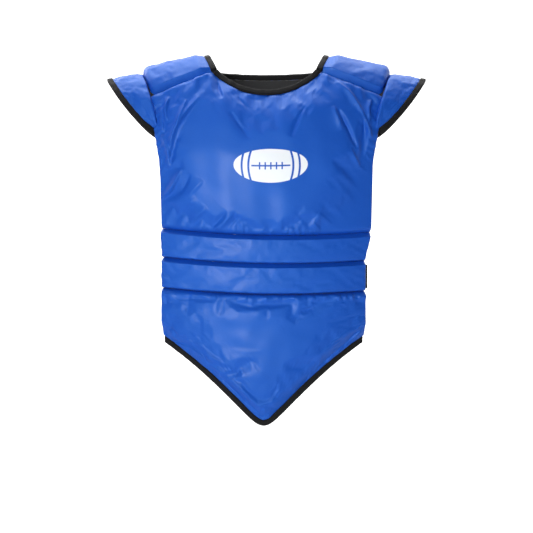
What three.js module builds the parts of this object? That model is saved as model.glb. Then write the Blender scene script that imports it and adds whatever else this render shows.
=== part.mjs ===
// Padded rugby contact suit: a vest of foam panels in coated nylon covers.
// Millimetres. +X is the wearer's left, -Y the wearer's front, +Z up.
// The origin lies midway between the shoulders, at the height of the shoulder pads' underside.
import * as THREE from 'three';

// ---------------------------------------------------------------- driving dimensions
const FRONT = -1;
const BACK = 1;

const GAP = 0.3; // clearance between touching pieces
const LINING = 1.5; // mesh lining
const LOFT = 0.6; // clearance between the lining and what lies on it
const WALL = 1.2; // coated nylon cover with its seam allowance
const PANEL = 24; // finished thickness of a torso panel
const BOUND_EDGE = 14; // panel thickness beside a bound edge
const TAPER = 30; // width over which a panel thins towards a bound edge
const TAPE = 11; // visible width of the edge binding
const TAPE_DEPTH = 8; // thickness of the bound edge
const TAPE_DROP = 1; // the binding lies this far below the panel's outer face
const TAPE_LOW = 0.5; // least height of the binding above the inner face

// The torso: distance from the middle plane to the inner face at chest height, how far it
// leans in towards the shoulder, tucks in towards the hem, and wraps round at the sides.
const TORSO = {
  [FRONT]: { deep: 130, lean: 68, tuck: 8, wrap: 45, flatten: 20 },
  [BACK]: { deep: 115, lean: 57, tuck: 5, wrap: 40, flatten: 18 },
};
const CHEST_Z = -200; // height where the torso is deepest
const LEAN_RUN = 220;
const TUCK_RUN = 528;
const WRAP_X = 225;
const WRAP_POWER = 2.2;

// Half widths of the inner face, and the heights that they are worked out from.
const WIDTH = { base: 220, flare: 12, taper: 5, waist: 7, waistRun: 60 };
const ARMHOLE_Z = -113;
const SHOULDER_Z = -45;
const HEM_Z = -541;

// Heights of the sewn fold lines and of the hems.
const SEAM_1 = -326;
const SEAM_2 = -385;
const SEAM_3 = -449;
// A hem is a hyperbola with a round tip, less a square that spreads it towards the sides.
const FLAP = { tip: -730, slope: 1.27, round: 30, spread: 0.0014 };
const TAIL = { tip: -604, slope: 0.42, round: 60, spread: 0 };

// Shoulders and neck.
const NECK_X = 113; // half width of the neck opening at the shoulder seam
const NECK_Z = 11; // height of the shoulder seam's inner end
const SEAM_FALL = 0.39; // fall of the shoulder seam per mm of width
const FRONT_DROP = 50; // depth of the front neckline
const BACK_DROP = 5;
const NECK_ROUND = { [FRONT]: 2.2, [BACK]: 2 }; // power of each neckline's curve
const NECK_BLEND = 24; // width over which the panel's edge thickens beside the neckline
const PAD = { thick: 22, neckThick: 16, neckBow: 16, outX: 232, outBow: 26 };
const PAD_TOP = { x: 129, z: 34, fall: 0.197 };

// Shoulder caps: a seam curve on the armhole and an outer edge curve.
const CAP = { seamThick: 22, edgeThick: 9, reach: THREE.MathUtils.degToRad(86) };
const CAP_CROWN = { height: 5, run: 0.8 * Math.PI };
const CAP_Y = -3; // the caps' middle, front to back
const CAP_SEAM = { x: 231, bulge: 36, full: 2.2, y: 76, z: -113, rise: 99, power: 0.9 };
const CAP_EDGE = { x: 236, bulge: 98, full: 1, y: 84, z: -122, rise: 105, power: 1.2 };

// Groove half angles beside the folds, in degrees.
const RIB_GROOVE = 8;
const FLAP_GROOVE = 10.5;
const SHOULDER_GROOVE = 15;
const CAP_GROOVE = 24;
const HINGE_BACK = 8; // a fold's straight axis lies this far inside the panel's middle

// Side straps: elastic with a hook pad that closes on a loop patch on the back panel's tab.
const STRAP = { width: 50, thick: 2, front: -83, rear: 62 };
const HOOK = { width: 44, thick: 1, front: 20, rear: 58 };
const LOOP = { width: 44, thick: 1, front: 24, rear: 66 };
const TAB = { width: 52, thick: 2, front: 18, rear: 76 };
const STRAP_HEIGHTS = { upper: -250, lower: -417 };
const TAB_IN = 3; // the tab lies this far inside the panel's half width
const STRAP_PIVOT_OUT = 2; // and the strap's hinge this far outside it

// ---------------------------------------------------------------- materials
const fabric = (color, roughness) =>
  new THREE.MeshStandardMaterial({ color, roughness, metalness: 0, flatShading: true });
const NYLON = fabric(0x2f62c0, 0.42);
const FOAM = fabric(0x3c3f44, 0.9);
const MESH = fabric(0x16181c, 0.85);
const BINDING = fabric(0x101114, 0.8);
const ELASTIC = fabric(0x121317, 0.75);
const HOOKS = fabric(0x1c1d20, 0.9);
const LOOPS = fabric(0x18191c, 0.95);

// ---------------------------------------------------------------- small helpers
const clamp01 = (t) => Math.min(1, Math.max(0, t));
const mix = (a, b, t) => a + (b - a) * t;
const ease = (t) => clamp01(t) ** 2 * (3 - 2 * clamp01(t));
const tanDeg = (a) => Math.tan(THREE.MathUtils.degToRad(a));
const fractions = (n) => Array.from({ length: n + 1 }, (_, i) => i / n);
const HANDS = Object.entries({ left: 1, right: -1 });

// ---------------------------------------------------------------- the shape of the torso
function torsoY(side, x, z) {
  const t = TORSO[side];
  const up = Math.max(0, (z - CHEST_Z) / LEAN_RUN);
  const down = Math.max(0, (CHEST_Z - z) / TUCK_RUN);
  const middle = t.deep - t.lean * up ** 2 - t.tuck * down ** 2;
  const wrap = (t.wrap - t.flatten * up ** 2) * (Math.abs(x) / WRAP_X) ** WRAP_POWER;
  return side * (middle - wrap);
}

// Half width of a panel's inner face: it flares above the armhole's lowest point to the
// shoulder seam, tapers slowly to the first fold and draws in a little more below it.
function halfWidth(z) {
  const { base, flare, taper, waist, waistRun } = WIDTH;
  const armhole = clamp01((z - ARMHOLE_Z) / (SHOULDER_Z - ARMHOLE_Z));
  const below = clamp01((ARMHOLE_Z - z) / (ARMHOLE_Z - SEAM_1));
  return base + flare * armhole ** 3 - taper * below - waist * ease((SEAM_1 - z) / waistRun);
}

const shoulderSeamZ = (x) => NECK_Z - SEAM_FALL * (Math.abs(x) - NECK_X);

function neckZ(side, x) {
  const drop = side === FRONT ? FRONT_DROP : BACK_DROP;
  return NECK_Z - drop * (1 - (Math.abs(x) / NECK_X) ** NECK_ROUND[side]);
}

const topZ = (side, x) => (Math.abs(x) < NECK_X ? neckZ(side, x) : shoulderSeamZ(x));

// Height of a flap's sewn edge, a tape's width inside its bound hem.
function hemZ(flap, x) {
  const bow = Math.hypot(flap.slope * x, flap.round);
  const slope = (flap.slope ** 2 * x) / bow - 2 * flap.spread * x;
  return flap.tip + bow - flap.round - flap.spread * x ** 2 + TAPE * Math.hypot(1, slope);
}

// ---------------------------------------------------------------- sheets
// A sheet is a surface read by the fractions p (across) and q (along), with its finished
// thickness, the groove angle at each edge, and how far below it those grooves meet.
const CHEST_COLUMNS = [0, 0.1, 0.185, 0.2577, 0.34, 0.42, 0.5, 0.58, 0.66, 0.7423, 0.815, 0.9, 1];

function torsoSheet({ side, top, bottom, rows, grooves, thickness = () => PANEL }) {
  const surface = (p, q) => {
    const sideZ = mix(top(halfWidth(SHOULDER_Z)), bottom(halfWidth(HEM_Z)), q);
    const x = (2 * p - 1) * halfWidth(sideZ);
    const z = mix(top(x), bottom(x), q);
    return new THREE.Vector3(x, torsoY(side, x, z), z);
  };
  const outward = new THREE.Vector3(0, side, 0);
  return { surface, outward, columns: CHEST_COLUMNS, rows, grooves, root: HINGE_BACK, thickness };
}

function upperPanel(side) {
  const top = (x) => topZ(side, x);
  const nearNeck = (p, q) => {
    const x = (2 * p - 1) * halfWidth(SHOULDER_Z);
    const fromEdge = q * (top(x) - SEAM_1);
    const bound = 1 - ease((Math.abs(x) - NECK_X) / NECK_BLEND + 0.5);
    return PANEL - (PANEL - BOUND_EDGE) * bound * (1 - ease(fromEdge / TAPER));
  };
  return torsoSheet({
    side,
    top,
    bottom: () => SEAM_1,
    rows: [0, 0.1, 0.25, 0.5, 0.75, 1],
    grooves: { q0: SHOULDER_GROOVE, q1: RIB_GROOVE },
    thickness: nearNeck,
  });
}

const ribPanel = (side, top, bottom, lowerGroove) =>
  torsoSheet({
    side,
    top: () => top,
    bottom: () => bottom,
    rows: [0, 1],
    grooves: { q0: RIB_GROOVE, q1: lowerGroove },
  });

function flapPanel(side, flap) {
  const bottom = (x) => hemZ(flap, x);
  const nearHem = (p, q) => {
    const x = (2 * p - 1) * halfWidth(SEAM_3);
    const fromHem = (1 - q) * (SEAM_3 - bottom(x));
    return PANEL - (PANEL - BOUND_EDGE) * (1 - ease(fromHem / TAPER));
  };
  return torsoSheet({
    side,
    top: () => SEAM_3,
    bottom,
    rows: [0, 0.4, 0.7, 0.88, 1],
    grooves: { q0: FLAP_GROOVE },
    thickness: nearHem,
  });
}

// A shoulder pad arches over the shoulder from the front seam to the back seam.
function shoulderPad() {
  const surface = (p, q) => {
    const over = Math.cos((Math.PI * (2 * q - 1)) / 2);
    const x = mix(NECK_X + PAD.neckBow * over, PAD.outX + PAD.outBow * over, p);
    const seamZ = shoulderSeamZ(x);
    const top = PAD_TOP.z - PAD_TOP.fall * (x - PAD_TOP.x);
    const arch = new THREE.QuadraticBezierCurve(
      new THREE.Vector2(torsoY(FRONT, x, seamZ), seamZ),
      new THREE.Vector2(0, 2 * top - seamZ),
      new THREE.Vector2(torsoY(BACK, x, seamZ), seamZ),
    );
    const yz = arch.getPoint(q);
    return new THREE.Vector3(x, yz.x, yz.y);
  };
  const thickness = (p) => mix(PAD.neckThick, PAD.thick, ease((p * (PAD.outX - NECK_X)) / TAPER));
  return {
    surface,
    outward: new THREE.Vector3(0, 0, 1),
    columns: [0, 0.12, 0.28, 0.64, 1],
    rows: fractions(10),
    grooves: { q0: SHOULDER_GROOVE, q1: SHOULDER_GROOVE, p1: CAP_GROOVE },
    root: 0,
    thickness,
  };
}

// A cap fans out from the armhole seam to its bound edge, from the chest over to the back.
function shoulderCap() {
  const curve = (c, angle) =>
    new THREE.Vector3(
      c.x + c.bulge * Math.cos(angle) ** c.full,
      CAP_Y + c.y * Math.sin(angle),
      c.z + c.rise * Math.cos(angle) ** c.power,
    );
  const surface = (p, q) => {
    const angle = mix(-CAP.reach, CAP.reach, clamp01(p));
    const seam = curve(CAP_SEAM, angle);
    const edge = curve(CAP_EDGE, angle);
    const kept = 1 - TAPE / seam.distanceTo(edge);
    const point = seam.lerp(edge, q * kept);
    point.z += CAP_CROWN.height * Math.cos(angle) * Math.sin(CAP_CROWN.run * clamp01(q));
    return point;
  };
  return {
    surface,
    outward: new THREE.Vector3(0, 0, 1),
    columns: fractions(14),
    rows: [0, 0.35, 0.7, 1],
    grooves: { q0: CAP_GROOVE },
    root: 0,
    thickness: (p, q) => mix(CAP.seamThick, CAP.edgeThick, mix(q, ease(q), 0.6)),
  };
}

// ---------------------------------------------------------------- solids from sheets
const STEP = 1e-4;

// The sheet's two tangents and its outward normal at a point.
function frameAt(sheet, p, q) {
  const across = sheet.surface(p + STEP, q).sub(sheet.surface(p - STEP, q));
  const along = sheet.surface(p, q + STEP).sub(sheet.surface(p, q - STEP));
  const normal = across.clone().cross(along).normalize();
  return { across: across.normalize(), along: along.normalize(), normal };
}

function prepare(sheet) {
  const middle = frameAt(sheet, 0.5, 0.5).normal;
  sheet.facing = Math.sign(middle.dot(sheet.outward));
  const length = (at) => {
    const points = fractions(12).map(at);
    return points.slice(1).reduce((sum, b, i) => sum + b.distanceTo(points[i]), 0);
  };
  sheet.spanP = sheet.rows.map((q) => length((t) => sheet.surface(t, q)));
  sheet.spanQ = sheet.columns.map((p) => length((t) => sheet.surface(p, t)));
  return sheet;
}

// One layer of a sheet: every grid point at a height above the inner face. The outline is
// drawn in by the groove at its edge and by an inset; inner points stay above each other.
function layer(sheet, heightOf, inset) {
  const drawn = (t, span, height, low, high) => {
    const groove = (edge) => (sheet.root + height) * tanDeg(sheet.grooves[edge] ?? 0);
    const into = (edge) => (GAP + inset + groove(edge)) / span;
    if (t === 0) return into(low);
    return t === 1 ? 1 - into(high) : t;
  };
  return sheet.columns.map((p, i) =>
    sheet.rows.map((q, j) => {
      const height = heightOf(sheet.thickness(p, q));
      const pIn = drawn(p, sheet.spanP[j], height, 'p0', 'p1');
      const qIn = drawn(q, sheet.spanQ[i], height, 'q0', 'q1');
      const normal = frameAt(sheet, pIn, qIn).normal.multiplyScalar(sheet.facing * height);
      return sheet.surface(pIn, qIn).add(normal);
    }),
  );
}

// The closed body between a first and a last layer, joined through the layers' outlines.
function solid(layers, material) {
  const across = layers[0].length;
  const along = layers[0][0].length;
  const points = [];
  const faces = [];
  const index = layers.map((grid) => grid.map((column) => column.map((v) => points.push(v) - 1)));
  const quad = (a, b, c, d) => faces.push(a, b, c, a, c, d);
  const cap = (grid, turned) => {
    for (let i = 0; i + 1 < across; i += 1) {
      for (let j = 0; j + 1 < along; j += 1) {
        const [a, b, c, d] = [grid[i][j], grid[i + 1][j], grid[i + 1][j + 1], grid[i][j + 1]];
        quad(...(turned ? [a, d, c, b] : [a, b, c, d]));
      }
    }
  };
  const outline = (grid) => [
    ...grid.map((column) => column[0]),
    ...grid[across - 1].slice(1),
    ...grid.slice(0, -1).reverse().map((column) => column[along - 1]),
    ...grid[0].slice(1, -1).reverse(),
  ];
  cap(index[0], true);
  cap(index.at(-1), false);
  for (let k = 0; k + 1 < layers.length; k += 1) {
    const low = outline(index[k]);
    const high = outline(index[k + 1]);
    low.forEach((a, i) => {
      const next = (i + 1) % low.length;
      quad(a, low[next], high[next], high[i]);
    });
  }
  return closedMesh(points, faces, material);
}

// A mesh of the used points, turned so that its faces point out.
function closedMesh(points, faces, material) {
  const number = new Map();
  const positions = [];
  const indices = faces.map((old) => {
    if (!number.has(old)) {
      number.set(old, number.size);
      positions.push(...points[old].toArray());
    }
    return number.get(old);
  });
  let volume = 0;
  for (let i = 0; i < faces.length; i += 3) {
    const [a, b, c] = [points[faces[i]], points[faces[i + 1]], points[faces[i + 2]]];
    volume += a.dot(b.clone().cross(c));
  }
  if (volume < 0) indices.reverse();
  const geometry = new THREE.BufferGeometry();
  geometry.setAttribute('position', new THREE.Float32BufferAttribute(positions, 3));
  geometry.setIndex(indices);
  geometry.computeVertexNormals();
  return new THREE.Mesh(geometry, material);
}

// A padded section is three pieces: the lining, the foam and a cover that wraps over it.
function paddedSection(sheet) {
  const lift = LINING + LOFT;
  const inside = WALL + GAP;
  return {
    lining: solid([layer(sheet, () => 0, 0), layer(sheet, () => LINING, 0)], MESH),
    foam: solid(
      [layer(sheet, () => lift, inside), layer(sheet, (t) => t - inside, inside)],
      FOAM,
    ),
    cover: solid(
      [
        layer(sheet, (t) => t, 0),
        layer(sheet, () => lift, 0),
        layer(sheet, () => lift, WALL),
        layer(sheet, (t) => t - WALL, WALL),
      ],
      NYLON,
    ),
  };
}

// Woven tape over a sheet's edge, from one fraction of that edge to another.
function binding(sheet, edge, from = 0, to = 1) {
  const alongP = edge[0] === 'q';
  const fixed = edge[1] === '0' ? 0 : 1;
  const sign = fixed === 0 ? -1 : 1;
  const stops = (alongP ? sheet.columns : sheet.rows).filter((t) => t > from && t < to);
  const rings = [from, ...stops, to].map((t) => {
    const [p, q] = alongP ? [t, fixed] : [fixed, t];
    const frame = frameAt(sheet, p, q);
    const tangent = alongP ? frame.across : frame.along;
    const outward = (alongP ? frame.along : frame.across).multiplyScalar(sign);
    outward.addScaledVector(tangent, -outward.dot(tangent)).normalize();
    const normal = frame.normal.multiplyScalar(sheet.facing);
    const corner = (out, up) =>
      sheet
        .surface(p, q)
        .addScaledVector(outward, out)
        .addScaledVector(normal, up);
    const high = sheet.thickness(p, q) - TAPE_DROP;
    const low = Math.max(TAPE_LOW, high - TAPE_DEPTH);
    return [corner(LOFT, low), corner(TAPE, low), corner(TAPE, high), corner(LOFT, high)];
  });
  const points = rings.flat();
  const faces = [0, 2, 1, 0, 3, 2];
  const last = points.length - 4;
  faces.push(last, last + 1, last + 2, last, last + 2, last + 3);
  for (let ring = 0; ring < last; ring += 4) {
    for (let k = 0; k < 4; k += 1) {
      const a = ring + k;
      const b = ring + ((k + 1) % 4);
      faces.push(a, b, b + 4, a, b + 4, a + 4);
    }
  }
  return closedMesh(points, faces, BINDING);
}

// A flat strip standing in a front-to-back plane, with rounded free corners.
function strip(size, x, z, material, round = 8) {
  const half = size.width / 2;
  const shape = new THREE.Shape();
  shape.moveTo(size.front, -half);
  shape.lineTo(size.rear - round, -half);
  shape.quadraticCurveTo(size.rear, -half, size.rear, -half + round);
  shape.lineTo(size.rear, half - round);
  shape.quadraticCurveTo(size.rear, half, size.rear - round, half);
  shape.lineTo(size.front, half);
  const geometry = new THREE.ExtrudeGeometry(shape, {
    depth: size.thick,
    bevelEnabled: false,
    curveSegments: 3,
  });
  geometry.applyMatrix4(
    new THREE.Matrix4().makeBasis(
      new THREE.Vector3(0, 1, 0),
      new THREE.Vector3(0, 0, 1),
      new THREE.Vector3(1, 0, 0),
    ),
  );
  geometry.translate(x, 0, z);
  return new THREE.Mesh(geometry, material);
}

// ---------------------------------------------------------------- assembly
// Each moving section is a group at its fold or hinge, and holds its meshes.
const suit = new THREE.Group();
suit.name = 'contact_suit';

function bodyGroup(parent, x, y, z) {
  const pivot = new THREE.Vector3(x, y, z);
  const body = new THREE.Group();
  body.userData.pivot = pivot;
  body.position.copy(pivot).sub(parent.userData.pivot ?? new THREE.Vector3());
  parent.add(body);
  return body;
}

function place(body, name, mesh) {
  const pivot = body.userData.pivot;
  mesh.geometry.translate(-pivot.x, -pivot.y, -pivot.z);
  mesh.name = name;
  body.add(mesh);
}

function placeSection(body, name, sheet) {
  Object.entries(paddedSection(sheet)).forEach(([layerName, mesh]) =>
    place(body, `${name}_${layerName}`, mesh),
  );
}

// The mirror image of a left piece, with its faces turned back out.
function mirrored(mesh) {
  const geometry = mesh.geometry.clone().scale(-1, 1, 1);
  geometry.setIndex([...geometry.index.array].reverse());
  geometry.computeVertexNormals();
  return new THREE.Mesh(geometry, mesh.material);
}

function hingeY(side, z) {
  return torsoY(side, 0, z) - side * HINGE_BACK;
}

const shoulders = bodyGroup(suit, 0, 0, 0);
const pad = prepare(shoulderPad());
const cap = prepare(shoulderCap());
const NECK_END = 0.03; // the neck tape on a pad stops short of the shoulder seams
const CAP_PIVOT = { x: 264, z: -14 };
const padPieces = paddedSection(pad);
const capPieces = paddedSection(cap);
const padBinding = binding(pad, 'p0', NECK_END, 1 - NECK_END);
const capBinding = binding(cap, 'q1');

for (const [hand, sign] of HANDS) {
  const copied = (mesh) => new THREE.Mesh(mesh.geometry.clone(), mesh.material);
  const handed = (mesh) => (sign > 0 ? copied(mesh) : mirrored(mesh));
  const capBody = bodyGroup(shoulders, sign * CAP_PIVOT.x, 0, CAP_PIVOT.z);
  for (const [layerName, mesh] of Object.entries(padPieces)) {
    place(shoulders, `${hand}_shoulder_pad_${layerName}`, handed(mesh));
  }
  for (const [layerName, mesh] of Object.entries(capPieces)) {
    place(capBody, `${hand}_cap_${layerName}`, handed(mesh));
  }
  place(shoulders, `${hand}_neck_binding`, handed(padBinding));
  place(capBody, `${hand}_cap_binding`, handed(capBinding));
}

// The neck's part of an upper panel's top edge, short of the shoulder seams.
const NECK_FROM = 0.2717;

function torsoChain(side, names, flap) {
  const seamY = torsoY(side, NECK_X, NECK_Z);
  const upper = bodyGroup(shoulders, 0, seamY, NECK_Z);
  const rib1 = bodyGroup(upper, 0, hingeY(side, SEAM_1), SEAM_1);
  const rib2 = bodyGroup(rib1, 0, hingeY(side, SEAM_2), SEAM_2);
  const low = bodyGroup(rib2, 0, hingeY(side, SEAM_3), SEAM_3);
  const upperSheet = prepare(upperPanel(side));
  const flapSheet = prepare(flapPanel(side, flap));
  placeSection(upper, names.upper, upperSheet);
  placeSection(rib1, names.rib1, prepare(ribPanel(side, SEAM_1, SEAM_2, RIB_GROOVE)));
  placeSection(rib2, names.rib2, prepare(ribPanel(side, SEAM_2, SEAM_3, FLAP_GROOVE)));
  placeSection(low, names.flap, flapSheet);
  place(upper, names.neckBinding, binding(upperSheet, 'q0', NECK_FROM, 1 - NECK_FROM));
  place(low, names.flapBinding, binding(flapSheet, 'q1'));
  return { upper, lower: rib2 };
}

const front = torsoChain(
  FRONT,
  {
    upper: 'chest',
    rib1: 'upper_rib',
    rib2: 'lower_rib',
    flap: 'groin_flap',
    neckBinding: 'front_neck_binding',
    flapBinding: 'groin_flap_binding',
  },
  FLAP,
);
const back = torsoChain(
  BACK,
  {
    upper: 'upper_back',
    rib1: 'back_upper_rib',
    rib2: 'back_lower_rib',
    flap: 'tail_flap',
    neckBinding: 'back_neck_binding',
    flapBinding: 'tail_flap_binding',
  },
  TAIL,
);

// From the tab outwards: tab, loop patch, hook pad, strap, each a clearance apart.
for (const [hand, sign] of HANDS) {
  for (const [level, z] of Object.entries(STRAP_HEIGHTS)) {
    const name = `${level}_${hand}`;
    const strips = [
      ['tab', TAB, ELASTIC, back[level]],
      ['loop_patch', LOOP, LOOPS, back[level]],
      ['hook_pad', HOOK, HOOKS, null],
      ['strap', STRAP, ELASTIC, null],
    ];
    const pivotX = sign * (halfWidth(z) + STRAP_PIVOT_OUT);
    const strapBody = bodyGroup(front[level], pivotX, STRAP.front, z);
    let x = halfWidth(z) - TAB_IN;
    for (const [part, size, material, holder] of strips) {
      const face = sign > 0 ? x : -x - size.thick;
      place(holder ?? strapBody, `${name}_${part}`, strip(size, face, z, material));
      x += size.thick + GAP;
    }
  }
}

export default suit;
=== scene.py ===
"""Padded rugby contact suit: sewn covers, foam, linings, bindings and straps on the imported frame.

Shapes are worked out in millimetres, in the frame's axes: +X to the wearer's left, -Y to the
front, +Z up. Every soft section is a sheet: a curved inner face read by two fractions, p across
and q along, with a height above it.
"""
import math
from collections import namedtuple

import bpy
import numpy as np
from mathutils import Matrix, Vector


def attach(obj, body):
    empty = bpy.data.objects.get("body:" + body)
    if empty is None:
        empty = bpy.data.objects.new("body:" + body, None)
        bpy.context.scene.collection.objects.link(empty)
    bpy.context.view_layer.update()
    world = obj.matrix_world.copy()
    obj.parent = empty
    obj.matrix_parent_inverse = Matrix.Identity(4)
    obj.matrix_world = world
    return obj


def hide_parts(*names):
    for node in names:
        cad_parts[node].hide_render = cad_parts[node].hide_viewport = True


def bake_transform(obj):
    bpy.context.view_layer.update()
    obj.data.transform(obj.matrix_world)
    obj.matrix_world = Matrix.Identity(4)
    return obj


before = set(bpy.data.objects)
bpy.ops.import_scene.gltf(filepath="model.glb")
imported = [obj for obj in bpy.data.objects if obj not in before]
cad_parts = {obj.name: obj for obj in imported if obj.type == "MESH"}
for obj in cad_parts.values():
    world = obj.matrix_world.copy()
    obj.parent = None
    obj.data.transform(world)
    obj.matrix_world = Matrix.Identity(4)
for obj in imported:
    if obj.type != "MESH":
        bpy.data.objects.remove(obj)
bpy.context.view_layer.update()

MM = 0.001
FRONT, BACK = -1, 1

# ------------------------------------------------------------------ driving sizes, in millimetres
PANEL = 24.0  # finished thickness of a torso panel
RIM = 1.8  # the covers end this far above the inner face, on the lining
BOUND_EDGE = 10.0  # panel thickness beside a binding
TAPE = 11.0  # visible width of the binding
CLOTH = 1.0  # thickness of a cover's cloth with its backing
CLOTH_CELL = 7.0  # spacing of the grid on which the covers' cloth settles
START_WAVE = 30  # height of the cloth's first unevenness for each part of it that is spare
HOLLOW = 3.6  # deepest hollow in a cover, where the cloth meets its foam
FOAM_DOWN, FOAM_IN, FOAM_LOW = 5.6, 2.6, 2.2  # the foam's face, edges and underside in the cover
LINING_TOP, LINING_LOW = 1.5, 0.1  # heights of the lining's faces
SETTLED_IN, SETTLED_OUT = -4.0, 6.0  # furthest that settling cloth may move

TORSO = {
    FRONT: dict(deep=130, lean=68, tuck=8, wrap=45, flatten=20),
    BACK: dict(deep=115, lean=57, tuck=5, wrap=40, flatten=18),
}
CHEST_Z, LEAN_RUN, TUCK_RUN = -200, 220, 528
WRAP_X, WRAP_POWER = 225, 2.2
BASE_WIDTH, FLARE, FLARE_POWER, TAPER, WAIST, WAIST_RUN = 221, 22, 1.3, 5, 7, 60
SHOULDER_Z, ARMHOLE_Z, FLARE_Z, HEM_Z = -45, -113, -190, -541
SEAM_1, SEAM_2, SEAM_3 = -326, -385, -449
FLAP = dict(tip=-730, slope=1.27, round=30, spread=0.0014)
TAIL = dict(tip=-604, slope=0.42, round=60, spread=0)
NECK_X, NECK_Z, SEAM_FALL = 113, 11, 0.39
NECK_DROP = {FRONT: 47, BACK: 5}
NECK_POWER = {FRONT: 2.2, BACK: 2}
NECK_RUN, NECK_BLEND, HEM_RUN = 50, 30, 34  # widths over which a panel thins to its tape
CROWN = 1.5  # the chest and upper back are this much fuller in the middle
HANG = dict(bow=11, level=0.45, tilt=3.5, half=213, sway=6)  # how the worn front hangs
PAD_THICK, PAD_NECK, PAD_RUN = 22, 15, 22
NECK_BOW, PAD_OUT, PAD_BOW = 16, 241, 22
PAD_TOP_X, PAD_TOP_Z, PAD_FALL = 129, 40, 0.23
CAP_SEAM_THICK, CAP_EDGE_THICK, CAP_ROUND = 18, 8, 0.6
CAP_REACH, CAP_CROWN, CAP_CROWN_RUN, CAP_Y = math.radians(86), 5, 0.8, -3
CAP_SEAM = dict(x=229, bulge=34, full=1.6, y=84, z=-113, rise=109, power=0.9)
CAP_EDGE = dict(x=232, bulge=109, full=0.8, y=88, z=-121, rise=116, power=1.1)
STRAP_HEIGHTS = dict(upper=-250, lower=-417)

# Sections below a fold: parent body, and the heights in metres between which the section turns
# from its parent to its own body. Only the names are read, to choose how a piece is held and its seed.
FOLDS = {
    "chest": ("shoulders", -0.060, -0.200),
    "upper_rib": ("chest", -0.334, -0.352),
    "lower_rib": ("upper_rib", -0.393, -0.411),
    "groin_flap": ("lower_rib", -0.457, -0.485),
    "upper_back": ("shoulders", -0.060, -0.200),
    "back_upper_rib": ("upper_back", -0.326, -0.344),
    "back_lower_rib": ("back_upper_rib", -0.385, -0.403),
    "tail_flap": ("back_lower_rib", -0.449, -0.477),
}


# ------------------------------------------------------------------ small helpers
def clamp01(t):
    return np.clip(t, 0.0, 1.0)


def ease(t):
    """Smoothly from 0 to 1: three t squared less two t cubed."""
    t = clamp01(t)
    return t * t * (3 - 2 * t)


def mix(a, b, t):
    return a + (b - a) * t


def unit(v):
    """Vectors along the last axis, divided by their lengths."""
    return v / np.maximum(np.linalg.norm(v, axis=-1, keepdims=True), 1e-9)


def ripple(u, v, wavelength, seed, angle=0.0, spread=math.pi, waves=14):
    """Smooth unevenness of about unit size: a sum of sine waves with seeded directions and
    phases, whose lengths lie within a third of the wavelength. angle turns the crests."""
    rng = np.random.default_rng(seed)
    total = np.zeros(np.broadcast(u, v).shape)
    for _ in range(waves):
        way = rng.uniform(-spread, spread) / 2 + angle
        k = 2 * math.pi / (wavelength * rng.uniform(0.7, 1.4))
        total += np.sin(k * (u * math.cos(way) + v * math.sin(way)) + rng.uniform(0, 6.28))
    return total / math.sqrt(waves / 2)


def fold(x, z, points, width, height, ends=0.6):
    """Height of a fold along a smooth curve through points: full at its middle and none at its
    ends. Across it the height is one over one plus the squared distance in widths, and the
    width is a half on the left of the curve's run and one and a half on its right."""
    pts = np.array(points, float)
    knots = np.linspace(0, len(pts) - 1, 6 * len(pts))
    whole = np.clip(knots.astype(int), 0, len(pts) - 2)
    part = (knots - whole)[:, None]
    padded = np.vstack([2 * pts[0] - pts[1], pts, 2 * pts[-1] - pts[-2]])
    a, b, c, d = (padded[whole + i] for i in range(4))
    curve = 0.5 * (2 * b + (c - a) * part + (2 * a - 5 * b + 4 * c - d) * part**2
                   + (3 * b - a - 3 * c + d) * part**3)
    near = np.full(x.shape, 1e9)
    along = np.zeros(x.shape)
    left = np.zeros(x.shape, bool)
    for i, (start, end) in enumerate(zip(curve[:-1], curve[1:])):
        step = end - start
        dx, dz = x - start[0], z - start[1]
        t = clamp01((dx * step[0] + dz * step[1]) / max(step @ step, 1e-9))
        gap = np.hypot(dx - t * step[0], dz - t * step[1])
        closer = gap < near
        near = np.where(closer, gap, near)
        along = np.where(closer, (i + t) / (len(curve) - 1), along)
        left = np.where(closer, step[0] * dz - step[1] * dx > 0, left)
    spread = near / np.where(left, 0.5 * width, 1.5 * width)
    return height * np.sin(math.pi * along) ** ends / (1 + spread**2) ** 1.5


# ------------------------------------------------------------------ the shape of the torso
def torso_y(side, x, z):
    """Distance of the inner face from the middle plane: deepest at chest height, leaning in
    with the square of the height above it, wrapping in with a power of the distance across."""
    t = TORSO[side]
    up = np.maximum(0, (z - CHEST_Z) / LEAN_RUN)
    down = np.maximum(0, (CHEST_Z - z) / TUCK_RUN)
    middle = t["deep"] - t["lean"] * up**2 - t["tuck"] * down**2
    wrap = (t["wrap"] - t["flatten"] * up**2) * (np.abs(x) / WRAP_X) ** WRAP_POWER
    return side * (middle - wrap)


def half_width(z):
    """Half width of the inner face: flared by a power of the height above the armhole."""
    armhole = clamp01((z - FLARE_Z) / (SHOULDER_Z - FLARE_Z))
    below = clamp01((ARMHOLE_Z - z) / (ARMHOLE_Z - SEAM_1))
    waist = ease((SEAM_1 - z) / WAIST_RUN)
    return BASE_WIDTH + FLARE * armhole**FLARE_POWER - TAPER * below - WAIST * waist


def shoulder_seam_z(x):
    return NECK_Z - SEAM_FALL * (np.abs(x) - NECK_X)


def neck_z(side, x):
    across = clamp01(np.abs(x) / NECK_X)
    return NECK_Z - NECK_DROP[side] * (1 - across ** NECK_POWER[side])


def top_z(side, x):
    return np.where(np.abs(x) < NECK_X, neck_z(side, x), shoulder_seam_z(x))


def hem_z(flap, x):
    """A hyperbola with a round tip, less a square that spreads it towards the sides; raised by
    a tape's width along its normal."""
    bow = np.hypot(flap["slope"] * x, flap["round"])
    slope = flap["slope"] ** 2 * x / bow - 2 * flap["spread"] * x
    return flap["tip"] + bow - flap["round"] - flap["spread"] * x**2 + TAPE * np.hypot(1, slope)


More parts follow.
